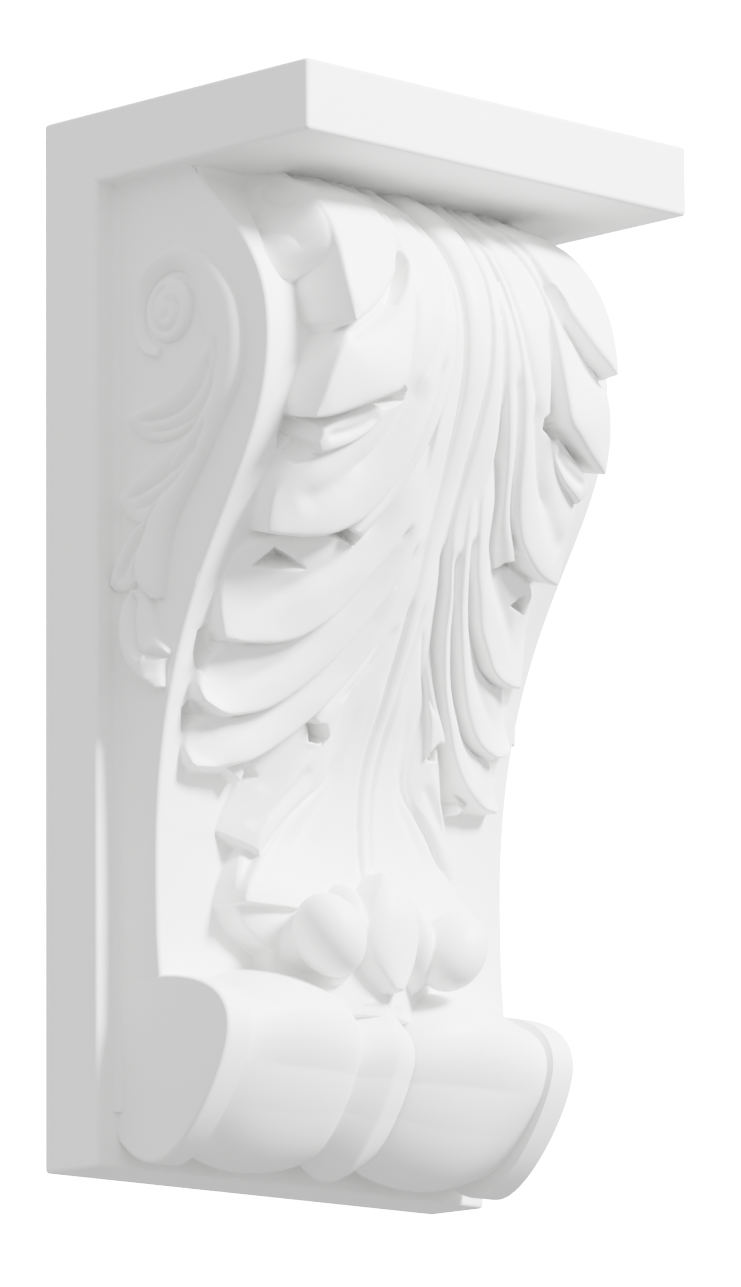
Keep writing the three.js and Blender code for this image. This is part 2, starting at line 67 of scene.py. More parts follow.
# S body
HALF_BODY = 68.6
THROAT = 54.6
BROW_DEPTH, BROW_HEIGHT = 83.0, 228.2
WAIST_DEPTH, WAIST_HEIGHT = 37.6, 84.8
FOOT_DEPTH = WAIST_DEPTH + 1.3
CORNER_ROUND = 1.4
CEILING_COVE = 3.0
TUCK = 0.4

# Bolster roll. LIFTS run from its underside to its top, and the two lists below say how far
# the swellings and the belt stand off the side outline there.
ROLL_TOP = 52.8
ROLL_DEPTH = 66.0
NOSE_HEIGHT = 36.5
CLEARANCE = 0.6
HEEL = 7.0
BELT_EDGE = 10.7
BELT_NOTCH = 6.4
RIM_WIDTH = 9.6
RIM_STEP = 0.6
LIFTS = [-1, -0.5, 0, 0.5, 1]
SWELL = [0, -1.6, -2.2, 1.0, 5.1]
BELT_SINK = [0, -2.2, -3.2, -2.2, 0]
NECK_DIP, NECK_UNDERCUT = 2.4, 3.6

# Carving. A lobe narrower than NARROW has less belly and rim in proportion. Scores reach
# SCORE_REACH widths to each side, and only points above SKIN are cut.
BURIED = 3.0
DRAFT = 0.12
NARROW = 6.0
CROWDED = 1.35
LEAST_RELIEF = 0.2
RIDGE_FLAT, MIDRIB_FLAT = 0.6, 0.45
SKIN = -2.0
SCORE_REACH = 4.0
HOLE_EDGE = 0.9
UNDERCUT_WIDTH, UNDERCUT_FADE = 0.9, 6
EDGE_POINTS = 60

# How finely the carvings are melted together, and the most triangles that each may have
VOXEL = 0.36
CHEEK_VOXEL = 0.34
MOST_TRIANGLES = 196000
MOST_CHEEK_TRIANGLES = 120000


def bezier(points, count=300):
    t = np.linspace(0, 1, count)[:, None]
    a, b, c, d = np.array(points, float)
    return (1 - t) ** 3 * a + 3 * (1 - t) ** 2 * t * b + 3 * (1 - t) * t ** 2 * c + t ** 3 * d


def lengths(line):
    steps = np.linalg.norm(np.diff(line, axis=0), axis=1)
    return np.concatenate([[0.0], np.cumsum(steps)])


# The S line of the front, from the slab down to the roll, as depth and height
def front_line():
    brow = UNDERSIDE - BROW_HEIGHT
    fall = BROW_HEIGHT - WAIST_HEIGHT
    foot = WAIST_HEIGHT - ROLL_TOP
    swell = BROW_DEPTH - THROAT
    return np.vstack([
        bezier([(THROAT, UNDERSIDE), (THROAT + swell * 0.19, UNDERSIDE - brow * 0.26),
                (BROW_DEPTH, UNDERSIDE - brow * 0.43), (BROW_DEPTH, BROW_HEIGHT)]),
        bezier([(BROW_DEPTH, BROW_HEIGHT), (BROW_DEPTH, BROW_HEIGHT - fall * 0.3),
                (WAIST_DEPTH, BROW_HEIGHT - fall * 0.4), (WAIST_DEPTH, WAIST_HEIGHT)])[1:],
        bezier([(WAIST_DEPTH, WAIST_HEIGHT), (WAIST_DEPTH, WAIST_HEIGHT - foot * 0.34),
                (WAIST_DEPTH, WAIST_HEIGHT - foot * 0.68), (FOOT_DEPTH, ROLL_TOP)])[1:],
    ])


FRONT = front_line()
FRONT_LENGTHS = lengths(FRONT)
FRONT_LENGTH = FRONT_LENGTHS[-1]
FRONT_WAYS = np.gradient(FRONT, FRONT_LENGTHS, axis=0)
FRONT_WAYS /= np.linalg.norm(FRONT_WAYS, axis=1)[:, None]


def along_front(v):
    inside = np.clip(v, 0, FRONT_LENGTH)
    point = np.stack([np.interp(inside, FRONT_LENGTHS, FRONT[:, k]) for k in (0, 1)], -1)
    way = np.stack([np.interp(inside, FRONT_LENGTHS, FRONT_WAYS[:, k]) for k in (0, 1)], -1)
    way /= np.linalg.norm(way, axis=-1)[..., None]
    return point + way * (v - inside)[..., None], way


# The cove that lifts the front where it meets the slab
def ceiling(v):
    left = np.clip(CEILING_COVE - v, 0, CEILING_COVE)
    return CEILING_COVE - np.sqrt(CEILING_COVE ** 2 - left ** 2)


# u across, v down the front from the slab, h out of the S surface
def on_front(u, v, h):
    point, way = along_front(v)
    lift = h + ceiling(v)
    depth = point[..., 0] - way[..., 1] * lift
    level = point[..., 1] + way[..., 0] * lift
    return np.stack([u, -depth, level - HEIGHT / 2], -1)


# The other way round: points in space as u, v and h, and the direction of h at each
def off_front(points):
    u = points[:, 0]
    place = np.stack([-points[:, 1], points[:, 2] + HEIGHT / 2], -1)
    cell = 0.5
    depths = np.arange(0, SLAB_DEPTH + 8, cell)
    levels = np.arange(-4, HEIGHT + 8, cell)
    nearest = np.empty((len(depths), len(levels)), int)
    for row, depth in enumerate(depths):
        away = (FRONT[None, :, 0] - depth) ** 2 + (FRONT[None, :, 1] - levels[:, None]) ** 2
        nearest[row] = away.argmin(1)
    row = np.clip(np.rint((place[:, 0] - depths[0]) / cell).astype(int), 0, len(depths) - 1)
    column = np.clip(np.rint((place[:, 1] - levels[0]) / cell).astype(int), 0, len(levels) - 1)
    k = nearest[row, column]
    way = FRONT_WAYS[k]
    away = place - FRONT[k]
    v = FRONT_LENGTHS[k] + (away * way).sum(1)
    h = -away[:, 0] * way[:, 1] + away[:, 1] * way[:, 0]
    out = np.stack([np.zeros_like(u), way[:, 1], way[:, 0]], -1)
    return u, v, h, out


# d and z as on the side view, h out of the right cheek
def on_cheek(d, z, h):
    return np.stack([HALF_BODY + h, -d, z - HEIGHT / 2], -1)


def off_cheek(points):
    out = np.zeros_like(points)
    out[:, 0] = np.sign(points[:, 0])
    return -points[:, 1], points[:, 2] + HEIGHT / 2, np.abs(points[:, 0]) - HALF_BODY, out


# A centripetal Catmull-Rom line through the points, sampled at even steps along it
def smooth_line(points, count):
    p = np.array(points, float)
    p = np.vstack([2 * p[0] - p[1], p, 2 * p[-1] - p[-2]])
    pieces = []
    t = np.linspace(0, 1, 24, endpoint=False)[:, None]
    for k in range(1, len(p) - 2):
        before, start, end, after = p[k - 1:k + 3]
        d0 = max(np.linalg.norm(start - before) ** 0.5, 1e-4)
        d1 = max(np.linalg.norm(end - start) ** 0.5, 1e-4)
        d2 = max(np.linalg.norm(after - end) ** 0.5, 1e-4)
        leave = ((start - before) / d0 - (end - before) / (d0 + d1) + (end - start) / d1) * d1
        arrive = ((end - start) / d1 - (after - start) / (d1 + d2) + (after - end) / d2) * d1
        pieces.append((2 * t ** 3 - 3 * t ** 2 + 1) * start + (t ** 3 - 2 * t ** 2 + t) * leave
                      + (3 * t ** 2 - 2 * t ** 3) * end + (t ** 3 - t ** 2) * arrive)
    line = np.vstack([*pieces, p[-2]])
    far = lengths(line)
    even = np.linspace(0, far[-1], count)
    return np.stack([np.interp(even, far, line[:, k]) for k in range(p.shape[1])], -1)


# A growing heap of closed shells, in drawing units
class Shells:
    def __init__(self):
        self.points = []
        self.faces = []
        self.count = 0

    def add(self, points, faces):
        self.points.append(points)
        self.faces.extend(tuple(k + self.count for k in face) for face in faces)
        self.count += len(points)

    # A closed skin over rings of points that all run the same way round
    def skin(self, rings, mirror=False):
        rings = np.asarray(rings)
        many, size = rings.shape[:2]
        points = rings.reshape(-1, 3)
        points = np.vstack([points, rings[0].mean(0), rings[-1].mean(0)])
        faces = []
        for ring in range(many - 1):
            for k in range(size):
                a, b = ring * size + k, ring * size + (k + 1) % size
                faces.append((a, b, b + size, a + size))
        last = (many - 1) * size
        for k in range(size):
            after = (k + 1) % size
            faces.append((after, k, many * size))
            faces.append((last + k, last + after, many * size + 1))
        self.add(points, faces)
        if mirror:
            flipped = [face[::-1] for face in faces]
            self.add(points * (-1, 1, 1), flipped)

    def mesh(self, name):
        mesh = bpy.data.meshes.new(name)
        mesh.from_pydata((np.vstack(self.points) * UNIT).tolist(), [], self.faces)
        mesh.update()
        return mesh


def ease(t):
    t = np.clip(t, 0, 1)
    return (3 - 2 * t) * t ** 2


# A lobe of carving between its low edge, the proud rim, and its high edge. Edges are lists
# of (across, along, height). The wall under the low edge leans out by tip at its far end.
def lobe(shells, place, low, high, belly=0.0, rim=1.0, tip=DRAFT, steps=130, count=44):
    a = smooth_line(low, steps)
    b = smooth_line(high, steps)
    across = b[:, :2] - a[:, :2]
    gap = np.maximum(np.linalg.norm(across, axis=1), 1e-6)[:, None]
    way = across / gap
    reach = np.minimum(1, gap / NARROW)
    s = np.linspace(0, 1, count)[None, :] ** CROWDED
    far = s * gap
    h = a[:, 2:] + (b - a)[:, 2:] * s
    h = h + belly * reach * np.sin(np.pi * np.sqrt(s))
    edge = rim * reach
    near_low = np.clip(1 - far / edge, 0, 1)
    near_high = np.clip(1 - (gap - far) / edge, 0, 1)
    h = h - edge * (1 - np.sqrt(1 - near_low ** 2)) - edge * (1 - np.sqrt(1 - near_high ** 2))
    h = np.maximum(h, LEAST_RELIEF)
    u = a[:, :1] + across[:, :1] * s
    v = a[:, 1:2] + across[:, 1:] * s
    lean = DRAFT + (tip - DRAFT) * ease(np.linspace(-0.4, 1, steps))[:, None]
    foot_low = a[:, :2] - way * lean * a[:, 2:]
    foot_high = b[:, :2] + way * DRAFT * b[:, 2:]
    u = np.hstack([foot_low[:, :1], u, foot_high[:, :1]])
    v = np.hstack([foot_low[:, 1:], v, foot_high[:, 1:]])
    sunk = np.full((steps, 1), -BURIED)
    h = np.hstack([sunk, h, sunk])
    shells.skin(place(u, v, h), mirror=True)


# The leaf's lobes from the slab downwards, right half
LOBES = {
    "shoulder flank": dict(
        low=[(42, -4, 6), (45, 10, 9), (48, 20, 12), (51, 28, 13.8), (52.4, 36, 14.6), (53, 43, 13.4)],
        high=[(50, -4, 0.5), (53, 12, 0.5), (58, 27, 0.5), (61, 36, 0.5), (60.5, 40, 0.5),
              (57, 44.8, 0.5)],
        belly=3),
    "first lobe": dict(
        low=[(24, -4, 8), (27, 14, 12), (28.5, 28, 16.5), (30, 39.5, 18.6), (34, 46, 19),
             (40, 51.5, 19), (46, 55.8, 19), (52.5, 59, 18.6)],
        high=[(45, -4, 6), (48, 10, 10), (50.4, 20, 13.6), (52, 30, 16.2), (53.2, 40, 17.4),
              (54, 48, 17.6), (53.6, 54, 18.2), (52.8, 58.5, 18.6)],
        belly=0.8),
    "second lobe": dict(
        low=[(16, -4, 8), (20, 14, 11.5), (24, 30, 15.8), (26.4, 45, 18), (29.4, 60, 18.8),
             (33.5, 71.3, 19.6), (38, 73.6, 18.4), (45, 76.8, 16), (52, 79.8, 14), (58, 81.4, 12.3)],
        high=[(28, -4, 7), (30, 14, 11), (32, 30, 14.5), (34, 40, 14.5), (38, 48, 14.5),
              (43, 53.5, 14), (49, 58.5, 14), (53, 63, 14.4), (56.2, 71, 13.6), (58.2, 80.8, 12.3)],
        belly=1.0, tip=0.2),
    "third lobe leaflet": dict(
        low=[(30, 68, 13), (34.5, 78.6, 13.6), (41, 84.6, 12.8), (48, 88.2, 12), (52.4, 90.4, 10.8)],
        high=[(36, 66, 12), (41, 76, 12), (49, 81, 12), (54, 85, 11.5), (55.2, 88, 10.5)],
        belly=0.6, rim=0.8),
    "third lobe": dict(
        low=[(12, -4, 8), (12.5, 14, 11.5), (12, 30, 15), (12, 42, 17.2), (13, 52, 17.4),
             (15.5, 62, 16.6), (19, 76, 15.8), (23, 90, 15.8), (29, 101, 16.2), (34.7, 106, 16.4),
             (42, 110.5, 15.6), (50, 113.2, 12.8), (57.3, 114.6, 9)],
        high=[(20, -4, 7.5), (22, 14, 11.4), (24, 30, 15.2), (26, 42, 17.2), (28.6, 56, 17.2),
              (33, 68, 14), (38, 77, 12), (43, 83, 11), (48, 88, 10.4), (54, 92, 9),
              (58.6, 102, 6.5), (58.4, 112, 8)],
        belly=1.0, tip=0.4),
    "third lobe flute": dict(
        low=[(10, 42, 15.6), (10.4, 52, 16.4), (11.5, 66, 15.4), (14.4, 78, 15.2), (17.8, 88, 15),
             (22.4, 101, 14.8), (28.4, 113, 14.2)],
        high=[(13, 42, 16.4), (14.6, 54, 16.8), (17, 66, 16), (19.5, 78, 15.6), (23.4, 90, 15.6),
              (28, 101, 15.8), (32, 108, 15.4)],
        belly=0.3, rim=0.7),
    "fourth lobe": dict(
        low=[(9, 84, 11.6), (12, 98, 15), (16.7, 112, 17), (20.6, 119, 17.5), (26.4, 130, 17.4),
             (31.8, 136.4, 16.9), (38.6, 143, 15.3), (46, 146.4, 12.9), (52, 147.6, 10.2),
             (58.3, 147.9, 7.5)],
        high=[(15, 82, 11.6), (21, 94, 12.4), (30, 106, 11), (36, 111, 9.5), (44, 114, 8),
              (52, 117, 5.5), (58.5, 123, 1.5), (60.5, 131, 1), (60.6, 139, 3.6), (59.2, 147, 7.2)],
        belly=0.8, tip=0.5),
    "fifth lobe": dict(
        low=[(7.4, 84, 10.6), (8, 97, 14), (10.2, 112, 18), (14, 124, 19), (18, 133, 19.1),
             (23.2, 143.7, 18.5), (31, 156, 16), (40.5, 165.4, 13), (50, 169.4, 10.4),
             (55, 169.6, 9), (59.6, 167.4, 8)],
        high=[(11, 84, 11), (13.6, 97, 14), (18.5, 110, 14.4), (24, 121, 14), (31, 132, 12.6),
              (38, 139.6, 10.4), (46, 144, 8), (54, 148, 4.8), (59.3, 156, 2), (61.6, 162, 3.6),
              (60.8, 166.8, 7)],
        belly=0.8, tip=0.5),
    "sixth lobe": dict(
        low=[(8.6, -4, 7.4), (8.4, 20, 12), (7.4, 36, 14.6), (6.4, 48, 15.4), (5.8, 62, 14),
             (5.2, 74, 12.2), (4.6, 88, 11.6), (4.4, 98, 12.6), (5.4, 108, 15.4), (8.4, 119, 18.2),
             (13, 139, 19.7), (18.5, 152, 18.8), (24.6, 162.5, 17.2), (30.8, 171, 14.5),
             (37.8, 178, 12.2), (44, 182.4, 10.6), (52, 185.4, 7.6), (59.8, 186, 5.4)],
        high=[(12.5, -4, 7.6), (13, 20, 12.4), (12, 36, 15), (11.4, 48, 16), (11.4, 62, 15),
              (12, 74, 13.8), (12.6, 88, 13.8), (13, 98, 14.8), (14, 106, 16), (16.6, 119, 17),
              (22, 135, 16), (28, 147, 13.6), (35, 157, 11.4), (43, 164, 8.6), (52, 168, 5.4),
              (60, 174.4, 1.6), (61.8, 180, 1.6), (60.8, 185.2, 5)],
        belly=0.6, tip=0.45),
    "inner fold of the sixth lobe": dict(
        low=[(8, 134, 15), (11, 146, 16.6), (15.4, 156, 16.8), (18.8, 167, 16.2), (20, 173.4, 15.4)],
        high=[(14, 134, 16), (18, 148, 17), (22, 158, 17), (24.4, 163.4, 16.8), (25.6, 167, 16.2)],
        belly=0.2, rim=0.7),
    "seventh lobe tooth": dict(
        low=[(30, 166, 8), (36, 175, 7.6), (41, 182, 7), (43, 188.6, 6)],
        high=[(34, 163, 8), (41, 171, 7.6), (46, 178, 7), (49, 184, 6)],
        rim=0.7),
    "seventh lobe, outer slope": dict(
        low=[(16, 158, 14.6), (20, 168, 14.6), (23.5, 176, 14), (28, 185, 12.6), (31, 191, 11.6),
             (37, 203, 9.8), (38.4, 208.4, 9.3)],
        high=[(26, 152, 8), (31, 164, 7), (35, 174, 4.6), (38.6, 183, 2.2), (41.8, 191, 0.9),
              (45.2, 198.5, 0.8), (46.6, 202.6, 0.8)],
        belly=1.0, rim=0.5),
    "seventh lobe, inner slope": dict(
        low=[(13, 158, 13), (14.6, 172, 12), (16, 181, 11.3), (19.4, 187, 10.8), (25, 194, 10.2),
             (32, 202, 9.6), (37.8, 209, 9)],
        high=[(16.2, 158, 14.6), (20.2, 168, 14.6), (23.7, 176, 14), (28.2, 185, 12.6),
              (31.2, 191, 11.6), (36.6, 202.4, 9.9), (38.6, 208, 9.4)],
        belly=0.4, rim=0.5),
    "end lobe": dict(
        low=[(0, -4, 6), (0, 20, 11), (0, 36, 13), (0, 48, 13.6), (0, 62, 12), (0, 75, 10),
             (0, 89, 9.6), (0, 104, 11.8), (0, 120, 15.4), (0, 140, 17), (0, 159, 15.8), (0, 172, 13),
             (0, 184, 11.4), (0, 197, 11.6), (0, 212, 13), (0, 224, 13.4)],
        high=[(9, -4, 6.6), (10.5, 20, 11), (10, 45, 12.6), (9, 64, 11), (8.4, 82, 10),
              (8.4, 100, 12.4), (10, 119, 15), (14.6, 139, 15.6), (18, 155, 14.2), (17.6, 170, 12.4),
              (19, 183, 11), (26, 194.6, 10), (34.6, 206, 9.6), (41, 214, 11), (45.2, 219.6, 12.6),
              (46.4, 224, 13)],
        belly=0.6, rim=0.6),
    "back leaf": dict(
        low=[(8, 212, 10), (12, 219, 11.6), (18, 226, 12), (24, 232, 10.6), (30, 237, 8)],
        high=[(38, 204, 4), (43, 212, 6.6), (45.6, 219, 8.4), (45.8, 225.4, 8.6), (42, 230, 7.4),
              (35, 234.6, 6)],
        belly=0.6, rim=0.8),
    "stem below the back leaf": dict(
        low=[(0, 212, 11), (0, 226, 16.6), (0, 240, 19.6), (0, 256, 20)],
        high=[(30, 214, 5), (32, 227, 6.4), (32, 238, 6.5), (33, 254, 6)],
        belly=1.0),
}

# Pod, the neck behind it and the leaf's midrib: rows of (along, half width, crest height)
POD = [(211.6, 0.6, 21), (215, 3.6, 24.4), (219, 6.4, 26.8), (225, 8.8, 28.2), (231, 9.4, 28.2),
       (237, 8.6, 27.6), (242, 6.8, 26.8), (246, 4.2, 26.2), (249, 1.8, 25.6)]
NECK_ROWS = [(232, 8, 16), (242, 9, 18.5), (252, 10.4, 20)]
MIDRIB = [(-4, 7.6, 8.6), (10, 7.2, 12.2), (25, 6.2, 15.6), (36, 5.4, 17.2), (46, 4.9, 17.6),
          (62, 4.2, 15.8), (74, 3.6, 13.4), (88, 3.1, 12.2), (101, 2.6, 13.4), (120, 2.2, 16.8),
          (138, 2, 18.4), (157, 2, 17.2), (170, 2, 14.6), (184, 1.9, 12.8), (198, 1.8, 13),
          (212, 1.7, 14.4), (218, 1.6, 14.6)]
BULB = dict(u=24.2, v=233.2, h=22.8, lean=0.5, long=12.2, wide=9.4, tall=10.4)
BULB_ROOT = dict(u=22.4, v=233.2, h=8.0, lean=0.5, long=9.6, wide=7.8, tall=17)
PETAL = dict(u=13.2, v=230.6, h=13.0, lean=-0.12, long=15, wide=5.4, tall=12.6)


def ridge(shells, rows, flat=RIDGE_FLAT):
    v, wide, tall = smooth_line(rows, 160).T
    turn = np.linspace(0, np.pi, 40)[None, :]
    shoulder = tall[:, None] - wide[:, None] * flat
    u = wide[:, None] * np.cos(turn)
    h = shoulder + wide[:, None] * flat * np.sin(turn)
    u = np.hstack([u, -wide[:, None], wide[:, None]])
    h = np.hstack([h, np.zeros((len(v), 2))])
    shells.skin(on_front(u, np.broadcast_to(v[:, None], u.shape), h))


def bulb(shells, u, v, h, lean, long, wide, tall):
    spot, right, above, out = (on_front(np.array(a), np.array(b), np.array(c)) for a, b, c in (
        (u, v, h), (u + 1.0, v, h), (u, v - 1.0, h), (u, v, h + 1.0)))
    right, above, out = ((w - spot) / np.linalg.norm(w - spot) for w in (right, above, out))
    along = right * np.sin(lean) + above * np.cos(lean)
    aside = np.cross(out, along)
    swing = np.linspace(0, np.pi, 40)[:, None, None]
    turn = np.linspace(0, 2 * np.pi, 60, endpoint=False)[None, :, None]
    ring = aside * wide * np.cos(turn) + out * tall * np.sin(turn)
    shells.skin(spot + along * long * np.cos(swing) + ring * np.sin(swing), mirror=True)


# The S body between the cheeks, its front corners rounded, up into the slab
def body(shells):
    v = np.linspace(-4, FRONT_LENGTH + 6, 420)[:, None]
    tuck = np.where(v > FRONT_LENGTH + 0.8, TUCK, 0)
    turn = np.linspace(0, np.pi / 2, 6)
    corner_u = HALF_BODY - CORNER_ROUND * (1 - np.cos(turn))
    corner_h = -CORNER_ROUND * (1 - np.sin(turn))
    u = np.concatenate([-corner_u, corner_u[::-1]])
    h = np.concatenate([corner_h, corner_h[::-1]])
    outer = on_front(u - np.sign(u) * tuck, np.broadcast_to(v, (len(v), len(u))),
                     np.broadcast_to(h, (len(v), len(u))))
    back = np.full((len(v), 1, 3), 0.0)
    back[:, 0, 1] = -(PLATE - 2)
    back[:, 0, 2] = outer[:, 0, 2]
    left, right = back.copy(), back.copy()
    left[..., 0], right[..., 0] = tuck - HALF_BODY, HALF_BODY - tuck
    shells.skin(np.concatenate([left, outer, right], axis=1))


def roll_line():
    tail = (PLATE, CLEARANCE + HEEL)
    lowest = (ROLL_DEPTH * 0.55, CLEARANCE)
    nose = (ROLL_DEPTH, NOSE_HEIGHT)
    top = (FOOT_DEPTH, ROLL_TOP)
    return np.vstack([
        bezier([top, (ROLL_DEPTH * 0.78, ROLL_TOP - 1), (ROLL_DEPTH, NOSE_HEIGHT + 12), nose], 60),
        bezier([nose, (ROLL_DEPTH, NOSE_HEIGHT - 11), (ROLL_DEPTH * 0.72, CLEARANCE), lowest], 70)[1:],
        bezier([lowest, (ROLL_DEPTH * 0.46, CLEARANCE), (PLATE + 4, CLEARANCE + 3), tail], 30)[1:],
    ])


# How far the roll stands off its side outline, at x and at a lift that runs from -1 at its
# underside to 1 at its top
def roll_offset(x, lift):
    rim = HALF_BODY - RIM_WIDTH
    sink = np.interp(lift, LIFTS, BELT_SINK)
    if x <= BELT_EDGE:
        return sink - BELT_NOTCH * (x / BELT_EDGE) ** 1.2
    dip = -(NECK_DIP + NECK_UNDERCUT * np.maximum(-lift, 0))
    if x <= rim:
        share = (x - BELT_EDGE) / (rim - BELT_EDGE)
        floor = (sink - BELT_NOTCH) * (1 - share) + dip * share
        power = 0.6 if share < 0.5 else 1.0
        return floor + (np.interp(lift, LIFTS, SWELL) - floor) * np.sin(np.pi * share) ** power
    return dip * (1 - min(1.0, (x - rim) / RIM_STEP))


# The bolster roll as a fine skin of its own
def roll():
    centre = np.array([ROLL_DEPTH * 0.66, ROLL_TOP * 0.52])
    reach = ROLL_DEPTH - centre[0] + BELT_NOTCH
    away = roll_line() - centre
    lift = np.clip(away[:, 1] / (ROLL_TOP - centre[1]), -1, 1)
    rim = HALF_BODY - RIM_WIDTH
    half = np.concatenate([
        np.linspace(0, BELT_EDGE, 16),
        BELT_EDGE + (rim - BELT_EDGE) * (1 - np.cos(np.linspace(0, np.pi, 90)[1:])) / 2,
        [rim + RIM_STEP * 0.5, rim + RIM_STEP, rim + RIM_STEP + 0.4],
        np.linspace(rim + RIM_STEP + 1, HALF_BODY - CORNER_ROUND, 6),
        HALF_BODY - CORNER_ROUND * (1 - np.sin(np.linspace(0.2, np.pi / 2, 7))),
    ])
    rings = []
    for x in np.concatenate([-half[:0:-1], half]):
        trim = max(0.0, abs(x) - (HALF_BODY - CORNER_ROUND))
        eased = CORNER_ROUND - np.sqrt(max(CORNER_ROUND ** 2 - trim ** 2, 0.0))
        grown = away * (1 + (roll_offset(abs(x), lift) - eased) / reach)[:, None] + centre
        ring = np.stack([np.full(len(grown), x), -grown[:, 0], grown[:, 1] - HEIGHT / 2], -1)
        inner = [(x, -(PLATE - 2), CLEARANCE + 2 * HEEL - HEIGHT / 2),
                 (x, -(PLATE - 2), ROLL_TOP - HEIGHT / 2)]
        rings.append(np.vstack([ring, inner]))
    shells = Shells()
    shells.skin(rings)
    piece = new_object(shells.mesh("bolster_roll"), "bolster_roll")
    face_outwards(piece)
    piece.data.shade_smooth()
    piece.data.set_sharp_from_angle(angle=0.7)
    return piece


# The scroll on a cheek, drawn as (depth, height, relief)
CHEEK = {
    "band": dict(
        low=[(41.2, 158.2, 1.6), (42.2, 165, 1.6), (44, 173, 1.6), (47, 180.2, 1.6), (52.4, 187.4, 1.6),
             (58.7, 195.5, 1.6), (63.5, 202.4, 1.6), (68.3, 209.3, 1.6), (72.1, 215, 1.6),
             (73.8, 222.4, 1.6), (73.6, 231.4, 1.6), (71.2, 239.5, 1.6), (66, 247, 1.6),
             (58.6, 253.8, 1.8), (50.4, 257.2, 2), (42.2, 256.2, 2), (35.6, 252.4, 2),
             (31.8, 246.6, 1.8), (30.6, 240, 1.6), (31.4, 233.6, 1.6), (34.6, 228.8, 1.5),
             (39.6, 226.8, 1.4)],
        high=[(38.4, 158, 3), (33.6, 163.8, 4.6), (33.6, 171, 5.2), (37, 180.4, 5.4),
              (43, 188.2, 5.2), (49, 195, 5), (55, 201, 5), (60, 207.5, 5),
              (63, 214.5, 4.6), (63.4, 222, 4), (60.6, 230, 3), (57.6, 237, 2), (55, 243.4, 1.2),
              (51.4, 248.4, 0.6), (46.4, 250.6, 0.6), (41.6, 250, 0.6), (37.2, 247.4, 0.6),
              (34.6, 243.6, 0.6), (34, 239, 0.6), (35, 234.6, 0.6), (37.2, 231.6, 0.6),
              (40.4, 229.8, 0.6)],
        belly=1.6, rim=0.9),
    "upper frond": dict(
        low=[(61, 231, 1), (57.6, 222.6, 3.4), (52.4, 216.8, 4.4), (45, 213.6, 4.4), (37, 212.4, 4),
             (29.5, 211.6, 3.2)],
        high=[(66, 225, 1.6), (62.4, 215, 1.8), (56, 207.4, 1.8), (47, 203, 1.8), (36.3, 203.4, 1.8),
              (31, 206.4, 2)],
        belly=1.0, rim=0.8),
    "middle frond": dict(
        low=[(65, 219, 1.6), (60.4, 208, 3.4), (54, 201.5, 4.4), (46, 198.4, 4.4), (36, 194.4, 4),
             (26.1, 188.8, 3.2)],
        high=[(60, 206, 1.4), (50.6, 192, 1.6), (42.4, 183, 1.6), (35.6, 180, 1.6), (30.6, 180.8, 1.8),
              (27, 183.6, 2)],
        belly=1.0, rim=0.8),
    "lower frond": dict(
        low=[(46, 192, 1.4), (40.9, 183.4, 3.6), (33.5, 178.4, 4.4), (27, 172.2, 4), (21.9, 164.5, 3)],
        high=[(38, 182, 1.4), (34, 172.4, 1.6), (31.4, 164.4, 1.6), (27, 161.8, 1.8), (22.8, 162.6, 2)],
        belly=1.0, rim=0.8),
    "bud": dict(
        low=[(31, 161.6, 1.6), (27.4, 157, 2), (26, 149.7, 2.2), (28.2, 141.7, 2.2), (33.3, 136.5, 2.2),
             (39.8, 132.2, 2)],
        high=[(36.4, 160, 1.6), (38.2, 154.5, 2), (40.4, 147.6, 2.2), (44.2, 142.6, 2.2),
              (42.4, 139.6, 2.2), (41.6, 133, 2)],
        belly=3.0, rim=1.6),
}
COIL = dict(d=44.4, z=239.8, wide=9.0, tall=9.3, rise=2.8, edge=0.7)


def coil(shells, d, z, wide, tall, rise, edge):
    swing = np.linspace(0.04, np.pi / 2, 24)[:, None]
    around = np.linspace(0, 2 * np.pi, 72, endpoint=False)[None, :]
    out = edge + rise * np.cos(swing) ** 0.8 + 0 * around
    across = d + wide * np.cos(around) * np.sin(swing)
    up = z + tall * np.sin(around) * np.sin(swing)
    across, up = (np.vstack([k, k[-1:]]) for k in (across, up))
    out = np.vstack([out, np.full_like(out[-1:], -BURIED)])
    shells.skin(on_cheek(across, up, out), mirror=True)


